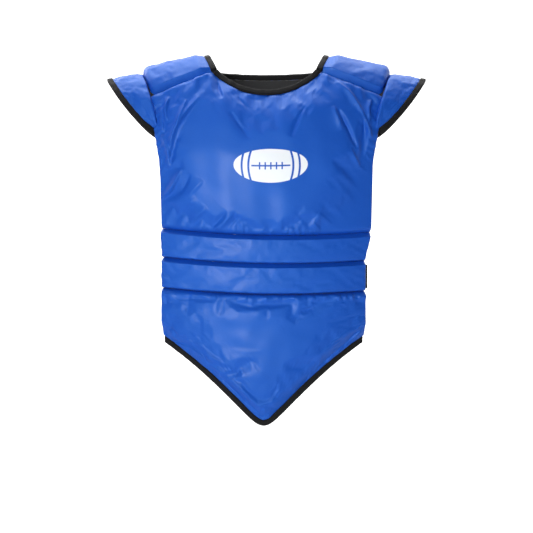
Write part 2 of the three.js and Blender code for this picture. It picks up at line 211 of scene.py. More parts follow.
def drape(side, x, z):
    """How the worn front hangs: the folds bow down in the middle, the wearer's right end sits
    higher, and the lower part lies a little to the wearer's right. Returns shifts in x and z."""
    if side == BACK:
        return 0 * x, 0 * z
    low = ease((ARMHOLE_Z - z) / 200) * (1 - ease((-455 - z) / 110))
    bow = HANG["bow"] * ((np.abs(x) / HANG["half"]) ** 2 - HANG["level"]) * low
    tilt = -HANG["tilt"] * x / HANG["half"] * low
    sway = -HANG["sway"] * ease((SEAM_1 + 20 - z) / 90)
    return sway, bow + tilt


# ------------------------------------------------------------------ sheets
class Sheet:
    """A curved surface read by the fractions p and q, with a finished thickness."""

    def __init__(self, surface, outward, thickness):
        self.surface = surface
        self.thickness = thickness
        self.facing = 1.0
        middle = self.frame(np.array(0.5), np.array(0.5))[1]
        self.facing = float(np.sign(middle @ np.array(outward, float)))

    def frame(self, p, q):
        """The point, the outward normal and the two unit tangents at p and q."""
        step = 1e-4
        across = unit(self.surface(p + step, q) - self.surface(p - step, q))
        along = unit(self.surface(p, q + step) - self.surface(p, q - step))
        return self.surface(p, q), unit(np.cross(across, along)) * self.facing, across, along

    def span(self, axis, at):
        """Length in millimetres of the grid line across p (axis 0) or along q (axis 1)."""
        t = np.linspace(0, 1, 40)[:, None] + 0 * at[None, :]
        other = at[None, :] + 0 * t
        line = self.surface(t, other) if axis == 0 else self.surface(other, t)
        return np.linalg.norm(np.diff(line, axis=0), axis=-1).sum(axis=0)


def torso_sheet(side, top, bottom, thickness):
    def surface(p, q):
        side_z = mix(top(half_width(SHOULDER_Z)), bottom(half_width(HEM_Z)), q)
        x = (2 * p - 1) * half_width(side_z)
        z = mix(top(x), bottom(x), q)
        y = torso_y(side, x, z)
        dx, dz = drape(side, x, z)
        return np.stack([x + dx, y, z + dz], axis=-1)

    return Sheet(surface, (0, side, 0), thickness)


def upper_panel(side):
    """The chest or upper back: thin beside the neck binding, full a hand's breadth below."""

    def thickness(p, q):
        x = (2 * p - 1) * half_width(SHOULDER_Z)
        from_edge = q * (top_z(side, x) - SEAM_1)
        bound = 1 - ease((np.abs(x) - NECK_X + 14) / NECK_BLEND)
        full = PANEL + CROWN * np.sin(math.pi * p) * np.sin(math.pi * q)
        return full - (PANEL - BOUND_EDGE) * bound * (1 - ease((from_edge - 4) / NECK_RUN))

    return torso_sheet(side, lambda x: top_z(side, x), lambda x: SEAM_1 + 0 * x, thickness)


def rib_panel(side, top, bottom):
    return torso_sheet(side, lambda x: top + 0 * x, lambda x: bottom + 0 * x,
                       lambda p, q: PANEL + 0 * p + 0 * q)


def flap_panel(side, flap):
    """The groin flap or tail: it thins towards its bound hem."""

    def thickness(p, q):
        x = (2 * p - 1) * half_width(SEAM_3)
        from_hem = (1 - q) * (SEAM_3 - hem_z(flap, x))
        return PANEL - (PANEL - BOUND_EDGE) * (1 - ease((from_hem + 2) / HEM_RUN))

    return torso_sheet(side, lambda x: SEAM_3 + 0 * x, lambda x: hem_z(flap, x), thickness)


def pad_sheet():
    """A pad arches over the shoulder: at each x, a parabola from the front seam to the back."""

    def surface(p, q):
        over = np.cos(math.pi * (2 * q - 1) / 2)
        x = mix(NECK_X + NECK_BOW * over, PAD_OUT + PAD_BOW * over, p)
        seam_z = shoulder_seam_z(x)
        top = PAD_TOP_Z - PAD_FALL * (x - PAD_TOP_X)
        a, b, c = (1 - q) ** 2, 2 * q * (1 - q), q**2
        y = a * torso_y(FRONT, x, seam_z) + c * torso_y(BACK, x, seam_z)
        z = (a + c) * seam_z + b * (2 * top - seam_z)
        return np.stack([x, y, z], axis=-1)

    def thickness(p, q):
        return mix(PAD_NECK, PAD_THICK, ease(p * (PAD_OUT - NECK_X) / PAD_RUN)) + 0 * q

    return Sheet(surface, (0, 0, 1), thickness)


def cap_sheet():
    """A cap fans out from the armhole seam to its bound edge, thinning as it goes."""

    def curve(c, angle):
        cosine = np.maximum(np.cos(angle), 0)
        return np.stack([c["x"] + c["bulge"] * cosine ** c["full"],
                         CAP_Y + c["y"] * np.sin(angle),
                         c["z"] + c["rise"] * cosine ** c["power"]], axis=-1)

    def surface(p, q):
        angle = mix(-CAP_REACH, CAP_REACH, clamp01(p)) + 0 * q
        seam, edge = curve(CAP_SEAM, angle), curve(CAP_EDGE, angle)
        kept = 1 - TAPE / np.linalg.norm(edge - seam, axis=-1)
        point = mix(seam, edge, (q * kept)[..., None])
        point[..., 2] += CAP_CROWN * np.cos(angle) * np.sin(math.pi * clamp01(q) * CAP_CROWN_RUN)
        return point

    def thickness(p, q):
        thinned = ease(q) * CAP_ROUND + q * (1 - CAP_ROUND)
        return mix(CAP_SEAM_THICK, CAP_EDGE_THICK, thinned) + 0 * p

    return Sheet(surface, (0, 0, 1), thickness)


# ------------------------------------------------------------------ shells over a sheet
# How a cover turns down at an edge: from the seam height it rises over its reach to the full
# thickness along a superellipse. Power 1 is a flat facet, 2 is round and 4 is boxy.
Edge = namedtuple("Edge", "gap seam reach power")
SOFT_SEAM = Edge(0.15, 8.0, 12.0, 2.0)
FACET = Edge(0.15, 10.0, 9.0, 1.1)
TIGHT = Edge(0.15, 9.0, 4.0, 2.0)
GUSSET = Edge(0.3, RIM, 6.0, 3.2)
BOUND = Edge(0.0, RIM, 5.0, 3.0)
TURN_STEPS = 9
WALL_STEPS = 3


def turn_down(edge, full):
    """Distances in from an edge, and the share of the full height reached there."""
    start = (edge.seam - RIM) / (full - RIM)
    angle = np.linspace(0, math.pi / 2, TURN_STEPS)
    into = edge.gap + edge.reach * (1 - np.cos(angle) ** (2 / edge.power))
    rise = start + (1 - start) * np.sin(angle) ** (2 / edge.power)
    wall = np.linspace(0, 1, WALL_STEPS, endpoint=False) * start
    return np.concatenate([np.full(WALL_STEPS, edge.gap), into]), np.concatenate([wall, rise])


def stations(low, high, count, span, full):
    """Fractions along a line of each span, and height shares: turned down at both edges."""
    into_low, rise_low = turn_down(low, full)
    into_high, rise_high = turn_down(high, full)
    first = into_low[:, None] / span
    last = 1 - into_high[::-1, None] / span
    between = np.linspace(0, 1, count + 2)[1:-1, None]
    inner = mix(first[-1:], last[:1], between)
    rise = np.concatenate([rise_low, np.ones(count), rise_high[::-1]])
    return np.concatenate([first, inner, last]), rise


def nominal(count, low, high, length, full):
    return stations(low, high, count, np.array([length]), full)[0][:, 0]


def grid_fractions(sheet, edges, counts, full, sink):
    """The fractions of a grid whose edges are drawn in by sink, and its height shares."""
    p0, p1, q0, q1 = (e._replace(gap=e.gap + sink) for e in edges)
    middle = np.array([0.5])
    p_line = nominal(counts[0], p0, p1, sheet.span(0, middle)[0], full)
    q_line = nominal(counts[1], q0, q1, sheet.span(1, middle)[0], full)
    p, rise_p = stations(p0, p1, counts[0], sheet.span(0, q_line), full)
    q, rise_q = stations(q0, q1, counts[1], sheet.span(1, p_line), full)
    return p, q.T, rise_p[:, None] * rise_q[None, :]


def shell(sheet, edges, counts, full=PANEL, relief=None, lower=0.0, sink=0.0):
    """A grid of points over the sheet, turned down at its four edges. lower takes that much
    off the whole height, sink draws the edges in, and relief adds its own height."""
    p, q, rise = grid_fractions(sheet, edges, counts, full, sink)
    base, normal, _, _ = sheet.frame(p, q)
    height = RIM + (sheet.thickness(p, q) - lower - RIM) * rise
    flat = base + normal * height[..., None]
    u = arc_length(flat, 0)
    v = arc_length(flat, 1)
    if relief is not None:
        weight = ease((rise - 0.25) / 0.6)
        height = height + relief(Place(flat[..., 0], flat[..., 2], p, q, u, v)) * weight
    v = v - flat[:, :1, 2]
    return base + normal * height[..., None], normal, np.stack([u, v], axis=-1) * MM


Place = namedtuple("Place", "x z p q u v")


def arc_length(grid, axis):
    """Length along the grid's lines, counted from the middle line across, or from the top."""
    step = np.linalg.norm(np.diff(grid, axis=axis), axis=-1)
    start = np.zeros_like(np.take(step, [0], axis=axis))
    length = np.concatenate([start, np.cumsum(step, axis=axis)], axis=axis)
    if axis == 0:
        length = length - length[length.shape[0] // 2][None, :]
    return length


def grid_normals(grid, like):
    """Normals of a grid by central differences, on the side of the given ones."""
    across = np.gradient(grid, axis=0)
    along = np.gradient(grid, axis=1)
    normal = unit(np.cross(across, along))
    flip = np.sign((normal[1:-1, 1:-1] * like[1:-1, 1:-1]).sum())
    return normal * flip


# ------------------------------------------------------------------ meshes
def add_mesh(name, points, faces, uv):
    """A mesh object from points in millimetres and faces of three or four corners. Faces that
    make a closed body are turned to point out."""
    points = np.asarray(points, float) * MM
    faces = [np.asarray(f, np.int64) for f in faces if len(f)]
    volume = 0.0
    for block in faces:
        for k in range(1, block.shape[1] - 1):
            a, b, c = points[block[:, 0]], points[block[:, k]], points[block[:, k + 1]]
            volume += np.einsum("ij,ij->i", a, np.cross(b, c)).sum()
    if volume < 0:
        faces = [block[:, ::-1] for block in faces]
    corners = np.concatenate([block.ravel() for block in faces])
    sizes = np.concatenate([np.full(len(block), block.shape[1]) for block in faces])
    mesh = bpy.data.meshes.new(name)
    mesh.vertices.add(len(points))
    mesh.vertices.foreach_set("co", points.ravel().astype(np.float32))
    mesh.loops.add(len(corners))
    mesh.loops.foreach_set("vertex_index", corners.astype(np.int32))
    mesh.polygons.add(len(sizes))
    mesh.polygons.foreach_set("loop_start", (np.cumsum(sizes) - sizes).astype(np.int32))
    mesh.polygons.foreach_set("use_smooth", np.full(len(sizes), True))
    layer = mesh.uv_layers.new(name="UVMap")
    layer.data.foreach_set("uv", np.asarray(uv)[corners].ravel().astype(np.float32))
    mesh.update(calc_edges=True)
    obj = bpy.data.objects.new(name, mesh)
    bpy.context.scene.collection.objects.link(obj)
    return obj


def grid_solid(name, outer, inner, uv):
    """The closed body between two grids of the same shape."""
    rows, cols, _ = outer.shape
    top = np.arange(rows * cols).reshape(rows, cols)
    low = top + rows * cols

    def quads(g):
        return np.stack([g[:-1, :-1], g[1:, :-1], g[1:, 1:], g[:-1, 1:]], axis=-1).reshape(-1, 4)

    def outline(g):
        return np.concatenate([g[:, 0], g[-1, 1:], g[-2::-1, -1], g[0, -2:0:-1]])

    a, b = outline(top), outline(low)
    side = np.stack([np.roll(a, -1), a, b, np.roll(b, -1)], axis=-1)
    faces = [quads(top), quads(low)[:, ::-1], side]
    points = np.concatenate([outer.reshape(-1, 3), inner.reshape(-1, 3)])
    return add_mesh(name, points, faces, np.concatenate([uv.reshape(-1, 2)] * 2))


def tube(name, rings, uv):
    """A closed skin over rings of points, with a middle point at each end."""
    count, around, _ = rings.shape
    index = np.arange(count * around).reshape(count, around)
    turned = np.roll(index, -1, axis=1)
    sides = np.stack([index[:-1], turned[:-1], turned[1:], index[1:]], axis=-1).reshape(-1, 4)
    ends = [rings[0].mean(axis=0), rings[-1].mean(axis=0)]
    first = np.stack([np.full(around, count * around), turned[0], index[0]], axis=-1)
    last = np.stack([np.full(around, count * around + 1), index[-1], turned[-1]], axis=-1)
    points = np.concatenate([rings.reshape(-1, 3), ends])
    flat_uv = np.concatenate([uv.reshape(-1, 2), uv[0, :1], uv[-1, :1]])
    return add_mesh(name, points, [sides, np.concatenate([first, last])], flat_uv)


def handed(points, sign):
    """The points as they are on the wearer's left, or mirrored for the right."""
    return points * np.array([-1.0, 1.0, 1.0]) if sign < 0 else points


def run_length(path):
    """Length along a line of points, from its first."""
    return np.concatenate([[0], np.cumsum(np.linalg.norm(np.diff(path, axis=0), axis=-1))])


# ------------------------------------------------------------------ holding pieces to bodies
def hold(piece, body, material, slot, *nodes):
    """Gives a piece its material and hides its CAD nodes. A piece of a folding section or a cap stays
    unparented where it is; any other is attached to its body's empty.
    """
    piece.data.materials.append(material)
    if nodes:
        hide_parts(*nodes)
    if body in FOLDS:
        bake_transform(piece)
    elif body.endswith("_cap"):
        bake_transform(piece)
    else:
        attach(piece, body)


# ------------------------------------------------------------------ materials
class Nodes:
    """A few calls that keep a node tree short to write."""

    def __init__(self, tree):
        self.tree = tree

    def add(self, kind, settings=None, **inputs):
        node = self.tree.nodes.new(kind)
        for key, value in (settings or {}).items():
            setattr(node, key, value)
        for key, value in inputs.items():
            self.feed(node.inputs[key.replace("_", " ")], value)
        return node

    def feed(self, socket, value):
        if isinstance(value, bpy.types.NodeSocket):
            self.tree.links.new(value, socket)
        else:
            socket.default_value = value

    def math(self, operation, *values, clamp=False):
        node = self.add("ShaderNodeMath", dict(operation=operation, use_clamp=clamp))
        for socket, value in zip(node.inputs, values):
            self.feed(socket, value)
        return node.outputs[0]

    def blend(self, factor, a, b):
        return self.add("ShaderNodeMix", dict(data_type="RGBA"), Factor=factor, A=a,
                        B=b).outputs["Result"]

    def limits(self, value, low, high):
        """From 0 at low to 1 at high."""
        return self.add("ShaderNodeMapRange", None, Value=value, From_Min=low,
                        From_Max=high).outputs[0]

    def group(self, tree, vector, **inputs):
        return self.add("ShaderNodeGroup", dict(node_tree=tree), Vector=vector, **inputs).outputs

    def bump(self, height, strength, distance, **inputs):
        return self.add("ShaderNodeBump", None, Height=height, Strength=strength,
                        Distance=distance, **inputs).outputs[0]

    def noise(self, vector, scale, detail=2.0, rough=0.5):
        return self.add("ShaderNodeTexNoise", None, Vector=vector, Scale=scale, Detail=detail,
                        Roughness=rough).outputs["Fac"]


def new_group(name, inputs, outputs):
    tree = bpy.data.node_groups.new(name, "ShaderNodeTree")
    for label, kind, value in inputs:
        socket = tree.interface.new_socket(name=label, in_out="INPUT", socket_type=kind)
        if value is not None:
            socket.default_value = value
    for label, kind in outputs:
        tree.interface.new_socket(name=label, in_out="OUTPUT", socket_type=kind)
    n = Nodes(tree)
    return tree, n, n.add("NodeGroupInput").outputs, n.add("NodeGroupOutput").inputs


def weave_group():
    """Plain weave: warp and weft threads as two crossing rows of sine ridges, with uneven yarn."""
    tree, n, given, out = new_group(
        "woven threads",
        [("Vector", "NodeSocketVector", None), ("Threads per metre", "NodeSocketFloat", 1500.0)],
        [("Height", "NodeSocketFloat"), ("Slub", "NodeSocketFloat")])
    split = n.add("ShaderNodeSeparateXYZ", None, Vector=given["Vector"])
    turns = n.math("MULTIPLY", given["Threads per metre"], 2 * math.pi)
    warp = n.math("SINE", n.math("MULTIPLY", split.outputs["X"], turns))
    weft = n.math("SINE", n.math("MULTIPLY", split.outputs["Y"], turns))
    n.feed(out["Height"], n.math("MULTIPLY_ADD", n.math("MULTIPLY", warp, weft), 0.5, 0.5))
    stretched = n.add("ShaderNodeMapping", None, Vector=given["Vector"], Scale=(260, 900, 1))
    n.feed(out["Slub"], n.noise(stretched.outputs[0], 1.0, 3.0))
    return tree


def rumple_group():
    """Soft handling creases: stretched noise folded about its middle, at one size."""
    tree, n, given, out = new_group(
        "handling creases",
        [("Vector", "NodeSocketVector", None), ("Per metre", "NodeSocketFloat", 30.0)],
        [("Height", "NodeSocketFloat"), ("Tone", "NodeSocketFloat")])
    noise = n.add("ShaderNodeTexNoise", None, Vector=given["Vector"], Scale=given["Per metre"],
                  Detail=3.0, Roughness=0.45, Distortion=0.6).outputs["Fac"]
    ridge = n.math("ABSOLUTE", n.math("SUBTRACT", noise, 0.5))
    n.feed(out["Height"], n.math("SUBTRACT", 1.0, n.math("MULTIPLY", ridge, 4.0, clamp=True)))
    n.feed(out["Tone"], n.noise(given["Vector"], 9.0, 2.0))
    return tree


# The ball print, in metres: half its size, and where the cloth's UV map has its middle.
PRINT_HALF = (0.078, 0.035)
PRINT_MOVE = (-0.008, -0.208, 0.0)
SEAM_HALF, BAND_HALF, LACE_HALF, LACE_REACH = 0.0016, 0.0022, 0.0015, 0.0075


def ball_print_group():
    """A white oval ball drawn in plain lines: an ellipse, cut by a long seam and two end bands."""
    tree, n, given, out = new_group(
        "plain ball print", [("Vector", "NodeSocketVector", None)],
        [("Mask", "NodeSocketFloat")])
    moved = n.add("ShaderNodeMapping", None, Vector=given["Vector"], Location=PRINT_MOVE)
    split = n.add("ShaderNodeSeparateXYZ", None, Vector=moved.outputs[0])
    u, v = split.outputs["X"], split.outputs["Y"]


    def within(value, half):
        return n.math("LESS_THAN", n.math("ABSOLUTE", value), half)

    def squared_share(value, half):
        return n.math("POWER", n.math("ABSOLUTE", n.math("DIVIDE", value, half)), 2.0)

    def band(centre):
        """Where u lies near a line that bows out from the ball's middle with v squared."""
        bow = n.math("MULTIPLY", n.math("MULTIPLY", v, v), 6.0)
        gap = n.math("SUBTRACT", n.math("ABSOLUTE", u), n.math("SUBTRACT", centre, bow))
        return within(gap, BAND_HALF)

    half_u, half_v = PRINT_HALF
    ball = n.math("LESS_THAN", n.math("ADD", squared_share(u, half_u), squared_share(v, half_v)), 1.0)
    cuts = n.math("MULTIPLY", within(v, SEAM_HALF), within(u, half_u * 0.52))
    for centre in (0.60, 0.78):
        cuts = n.math("MAXIMUM", cuts, band(half_u * centre))
    for lace in (-0.3, -0.15, 0.0, 0.15, 0.3):
        near = within(n.math("SUBTRACT", u, half_u * lace), LACE_HALF)
        cuts = n.math("MAXIMUM", cuts, n.math("MULTIPLY", near, within(v, LACE_REACH)))
    n.feed(out["Mask"], n.math("MULTIPLY", ball, n.math("SUBTRACT", 1.0, cuts)))
    return tree


def material(name, build):
    mat = bpy.data.materials.new(name)
    mat.use_nodes = True
    n = Nodes(mat.node_tree)
    shader = mat.node_tree.nodes["Principled BSDF"]
    build(n, shader, n.add("ShaderNodeUVMap", dict(uv_map="UVMap")).outputs["UV"])
    return mat


def finish(n, shader, colour, normal, **values):
    """Feeds the shader's colour and normal, and sets its other sockets by name."""
    n.feed(shader.inputs["Base Color"], colour)
    if normal is not None:
        n.feed(shader.inputs["Normal"], normal)
    for key, value in values.items():
        n.feed(shader.inputs[key.replace("_", " ")], value)


def nylon(name, weave, rumple, ball_print=None):
    """Satin coated nylon in royal blue: fine weave, a broad gloss and faint handling creases."""

    def build(n, shader, uv):
        threads = n.group(weave, uv, Threads_per_metre=1700.0)
        creases = n.group(rumple, uv, Per_metre=42.0)
        grain = n.blend(n.limits(creases["Tone"], 0.3, 0.7), (0.0012, 0.042, 0.36, 1),
                        (0.0020, 0.050, 0.40, 1))
        speck = n.noise(uv, 520.0, 2.0, 0.7)
        slub = n.math("MULTIPLY", n.math("ADD", threads["Slub"], speck), 0.5, clamp=True)
        colour = n.blend(slub, grain, (0.007, 0.088, 0.52, 1))
        rough = n.math("MULTIPLY_ADD", threads["Slub"], 0.14, 0.52)
        if ball_print:
            mask = n.group(ball_print, uv)["Mask"]
            colour = n.blend(mask, colour, (0.88, 0.89, 0.90, 1))
            rough = n.math("MAXIMUM", rough, n.math("MULTIPLY", mask, 0.5))
        fine = n.bump(threads["Height"], 0.25, 0.0001)
        finish(n, shader, colour, n.bump(creases["Height"], 0.11, 0.0012, Normal=fine),
               Roughness=rough, Specular_IOR_Level=1.0, Specular_Tint=(0.20, 0.55, 1.0, 1),
               Sheen_Weight=0.03, Sheen_Roughness=0.3, Sheen_Tint=(0.75, 0.85, 1.0, 1),
               Coat_Weight=0.12, Coat_Roughness=0.30)

    return material(name, build)


def woven_black(name, weave, threads_per_metre, colour, stretch=(1, 1, 1), depth=0.0004):
    """Black tape, elastic or lining: a coarse weave on near-black yarn."""

    def build(n, shader, uv):
        laid = n.add("ShaderNodeMapping", None, Vector=uv, Scale=stretch).outputs[0]
        threads = n.group(weave, laid, Threads_per_metre=threads_per_metre)
        light = tuple(c * 2.6 for c in colour)
        finish(n, shader, n.blend(threads["Slub"], (*colour, 1), (*light, 1)),
               n.bump(threads["Height"], 0.7, depth),
               Roughness=n.math("MULTIPLY_ADD", threads["Height"], -0.12, 0.85),
               Specular_IOR_Level=0.25, Sheen_Weight=0.06, Sheen_Roughness=0.4)

    return material(name, build)


def mesh_lining(name):
    """Warp-knit mesh: rows of small round holes, darker than the yarn between them."""

    def build(n, shader, uv):
        cells = n.add("ShaderNodeTexVoronoi", dict(feature="F1"), Vector=uv, Scale=420.0,
                      Randomness=0.15).outputs["Distance"]
        yarn = n.limits(cells, 0.22, 0.36)
        finish(n, shader, n.blend(yarn, (0.002, 0.002, 0.003, 1), (0.022, 0.023, 0.026, 1)),
               n.bump(yarn, 0.6, 0.0005), Roughness=0.8, Sheen_Weight=0.3)

    return material(name, build)


def cell_foam(name):
    """Closed-cell foam: charcoal, with fine cut cells."""

    def build(n, shader, uv):
        cells = n.add("ShaderNodeTexVoronoi", dict(feature="F1"), Vector=uv,
                      Scale=900.0).outputs["Distance"]
        finish(n, shader, n.blend(cells, (0.020, 0.022, 0.025, 1), (0.062, 0.066, 0.073, 1)),
               n.bump(cells, 0.5, 0.0006), Roughness=0.92)

    return material(name, build)


def pile_tape(name, colour, scale, depth):
    """Hook or loop tape: a dense uneven pile."""

    def build(n, shader, uv):
        pile = n.noise(uv, scale, 4.0, 0.7)
        dark = tuple(c * 0.4 for c in colour)
        finish(n, shader, n.blend(pile, (*dark, 1), (*colour, 1)), n.bump(pile, 0.9, depth),
               Roughness=0.95, Sheen_Weight=0.4)

    return material(name, build)


def thread(name):
    """Navy thread with a slanting twist."""

    def build(n, shader, uv):
        twist = n.add("ShaderNodeTexWave", dict(bands_direction="DIAGONAL"), Vector=uv,
                      Scale=900.0).outputs["Fac"]
        finish(n, shader, n.blend(twist, (0.004, 0.012, 0.06, 1), (0.012, 0.035, 0.15, 1)), None,
               Roughness=0.6)

    return material(name, build)


weave = weave_group()
rumple = rumple_group()
NYLON = nylon("royal blue satin nylon", weave, rumple)
CHEST_NYLON = nylon("royal blue satin nylon with ball print", weave, rumple, ball_print_group())
BINDING = woven_black("black woven binding", weave, 900, (0.0028, 0.0028, 0.0032), (0.35, 1, 1))
ELASTIC = woven_black("black ribbed elastic", weave, 500, (0.004, 0.004, 0.0045), (1, 0.3, 1),
                      0.0006)
MESH = mesh_lining("black mesh lining")
FOAM = cell_foam("charcoal closed-cell foam")
HOOKS = pile_tape("hook tape", (0.020, 0.020, 0.022), 1500.0, 0.0006)
LOOPS = pile_tape("loop tape", (0.016, 0.016, 0.018), 700.0, 0.0009)
THREAD = thread("navy sewing thread")


# ------------------------------------------------------------------ relief of the covers
def sunk(h):
    """Heights with their hollows held to a depth, softly: the foam under the cloth stops them."""
    return np.where(h < 0, -HOLLOW * np.tanh(-h / HOLLOW), h)


def seam_pucker(along, gap, pitch, reach, height, seed):
    """Small gathers beside a seam: uneven waves along it that die away from it."""
    uneven = 0.6 + 0.5 * ripple(along, 0 * along, pitch * 5, seed)
    wave = np.sin(2 * math.pi * along / pitch + 1.6 * ripple(along, 0 * along, pitch * 4, seed + 1))
    return height * uneven * wave * np.exp(-gap / reach)


def turned_away(beyond, slope, bend):
    """The fall of cloth that turns away beyond a line, rounded over the bend there."""
    return slope * np.logaddexp(0, beyond / bend) * bend


def side_gap(x, z):
    """Distance in from a panel's side edge."""
    return np.maximum(half_width(z) + 9 - np.abs(x), 0)


def armhole_pleats(x, z, gap, pitch, rise, height, reach, low, seed):
    """Slanting pleats along the armholes, dying out inwards and below."""
    slant = 2 * math.pi * (z + rise * np.abs(x)) / pitch
    pleats = np.sin(slant + 1.4 * ripple(x, z, 70, seed))
    return height * pleats * np.exp(-gap / reach) * ease((-25 - z) / 20) * ease((z - low) / 90)


def add_folds(h, x, z, folds):
    for points, width, height in folds:
        h = h + fold(x, z, points, width, height)
    return h


def chest_relief(place):
    x, z = place.x, place.z
    h = 0.9 * ripple(x, z, 150, 3) + 0.35 * ripple(x, z, 60, 4)
    # long drag folds from the wearer's right shoulder corner, then from the left one
    h = add_folds(h, x, z, (
        (((-140, -40), (-172, -82), (-192, -118), (-202, -168)), 6, 10),
        (((-166, -45), (-176, -75), (-186, -100)), 5.25, 6.4),
        (((-205, -38), (-210, -62), (-208, -92)), 3.75, 7.2),
        (((-222, -60), (-219, -90), (-214, -118)), 3.75, 5.2),
        (((-218, -118), (-205, -150), (-203, -188)), 5.25, 7.2),
        (((-176, -190), (-198, -232), (-222, -256)), 6.75, 7.2),
        (((-103, -8), (-99, -24), (-92, -42)), 3.75, -5.2),
        (((-60, -40), (-42, -58), (-22, -76)), 3.75, -3.6),
        (((-74, -72), (-56, -100), (-34, -128)), 6, -4.8),
        (((80, -62), (64, -92), (52, -126)), 6, -5.2),
        (((146, -4), (176, -32), (194, -64), (212, -102), (220, -126)), 6, 10.4),
        (((186, -58), (203, -84), (208, -114), (205, -150), (200, -188)), 5.25, -10.8),
        (((222, -42), (215, -66), (218, -100)), 3.75, 6.8),
        (((150, -66), (172, -106), (190, -148)), 4.5, -8.4),
        (((140, -60), (150, -86), (158, -110)), 5.25, 4.8),
        (((176, -146), (186, -168), (196, -186)), 4.5, 4.4),
    ))
    # short slanting gathers above the first fold, on the wearer's right
    h = add_folds(h, x, z, (
        (((-124, -272), (-146, -292), (-166, -312)), 8, 3.4),
        (((-82, -280), (-98, -300), (-118, -319)), 7, -3.2),
        (((-70, -288), (-88, -306), (-108, -320)), 8, 3.4),
        (((-58, -290), (-68, -302), (-80, -314)), 6, -2.6),
        (((-132, -216), (-150, -236), (-168, -254)), 9, 3.0),
        (((-158, -202), (-167, -222), (-178, -242)), 7, -2.6),
        (((-146, -252), (-166, -270), (-188, -282)), 9, 2.6),
        (((96, -304), (104, -312), (118, -320)), 6, 2.2),
        (((108, -284), (122, -296), (140, -310)), 9, 2.4),
    ))
    # the panel turns away towards each side below a slanting line
    to_left = ((x - 118) - 0.55 * (z + 255)) / 1.14
    to_right = ((-150 - x) - 0.5 * (z + 240)) / 1.12
    h = h - turned_away(to_left, 0.17, 9) * ease((-110 - z) / 120)
    h = h - turned_away(to_right, 0.05, 10) * ease((-150 - z) / 100)
    gap = np.minimum(side_gap(x, z), 60)
    h = h + armhole_pleats(x, z, gap, 21, 0.9, 1.1, 14, -230, 9)
    h = h + seam_pucker(x, z - SEAM_1, 13, 9, 0.9, 21)
    shoulder_gap = np.maximum(top_z(FRONT, x) - z, 0)
    h = h + seam_pucker(x, shoulder_gap, 24, 14, 0.9, 23) * ease((np.abs(x) - 118) / 20)
    return h


def rib_relief(seed, pull):
    """A rib's cover, nearly flat, pulled in by pull towards the wearer's left."""

    def relief(place):
        x, z = place.x, place.z
        h = 0.25 * ripple(x, z, 110, seed) + 0.1 * ripple(x, z, 34, seed + 1)
        h = h + seam_pucker(x, place.v, 15, 6, 0.3, seed + 2)
        ends = np.exp(-(half_width(z) + 8 - np.abs(x)) / 14)
        h = h + 0.7 * ends * ripple(x, z, 20, seed + 3, angle=0.9, spread=0.8)
        return h - pull * ease((x - 90) / 120)

    return relief


def flap_relief(place):
    x, z = place.x, place.z
    h = 0.8 * ripple(x, z, 130, 31) + 0.3 * ripple(x, z, 50, 32)
    # shallow scallops under the fold, between the places where the cloth is caught
    caught = np.array([-186.0, -99, -43, -3, 23, 57, 96, 122, 150, 164, 178, 196])
    below = np.maximum(SEAM_3 - z, 0)
    for left, right in zip(caught[:-1], caught[1:]):
        arch = np.sin(math.pi * clamp01((x - left) / (right - left)))
        deep = 10 + 0.05 * (right - left)
        h = h - 2.6 * arch * np.exp(-((below - deep) / 4.5) ** 2)
        h = h + 1.2 * (1 - arch) * np.exp(-((below - 10) / 7) ** 2) * (np.abs(x - left) < 60)
    return add_folds(h, x, z, (
        (((-84, -468), (-40, -475), (14, -474), (62, -467)), 9, -3.4),
        (((-80, -482), (-20, -488), (48, -483)), 12, 1.6),
        (((72, -491), (84, -486), (97, -482)), 4, -2.8),
        (((94, -471), (120, -463), (150, -458)), 6, -2.4),
        (((-216, -536), (-203, -525), (-185, -541)), 5, -3.4),
        (((-200, -530), (-192, -545), (-176, -556)), 6, 2.0),
        (((-84, -617), (-119, -597), (-139, -576), (-167, -559), (-200, -553)), 6, -6.0),
        (((-180, -548), (-140, -560), (-112, -586), (-78, -606)), 8, 3.0),
        (((-8, -716), (-18, -702), (-43, -680), (-73, -651), (-99, -626)), 6, -5.6),
        (((-84, -624), (-56, -648), (-28, -676), (-8, -694)), 8, 2.4),
        (((-92, -624), (-74, -620), (-54, -619)), 6, -2.4),
        (((-14, -694), (6, -688), (30, -700)), 5, -3.2),
        (((4, -708), (12, -716), (20, -716)), 4, 2.4),
        (((204, -522), (180, -543), (141, -577), (105, -609)), 7, -5.6),
        (((100, -592), (134, -562), (172, -530), (196, -510)), 10, 2.4),
        (((176, -552), (190, -540), (202, -524)), 5, 2.6),
        (((62, -656), (74, -642), (88, -626)), 4, -2.6),
        (((12, -669), (30, -666), (48, -663)), 5, -1.4),
        (((-74, -570), (-40, -573), (-8, -572)), 7, 0.9),
    ))


def back_relief(place):
    x, z = place.x, place.z
    h = 0.9 * ripple(x, z, 150, 43) + 0.35 * ripple(x, z, 60, 44)
    for sign in (-1, 1):
        for points, width, height in (
            (((132, -6), (168, -50), (190, -100), (200, -150)), 8, 4.4),
            (((205, -48), (206, -80), (210, -112)), 5, 3.0),
            (((96, -12), (88, -40), (80, -70)), 7, -2.4),
            (((200, -190), (176, -226), (150, -250)), 8, 2.8),
            (((196, -262), (176, -290), (150, -312)), 7, 2.6),
        ):
            h = h + fold(x, z, [(sign * a, b + 6 * sign) for a, b in points], width, height)
    h = h + seam_pucker(x, z - SEAM_1, 14, 10, 1.1, 45)
    return h + armhole_pleats(x, z, side_gap(x, z), 23, 0.8, 1.5, 16, -300, 47)


def tail_relief(place):
    x, z = place.x, place.z
    h = 0.8 * ripple(x, z, 120, 51) + 0.3 * ripple(x, z, 45, 52)
    h = h + seam_pucker(x, SEAM_3 - z, 34, 13, 2.0, 53)
    for sign in (-1, 1):
        h = h + fold(x, z, ((190 * sign, -520), (150 * sign, -542), (90 * sign, -566)), 5, -2.8)
    return h


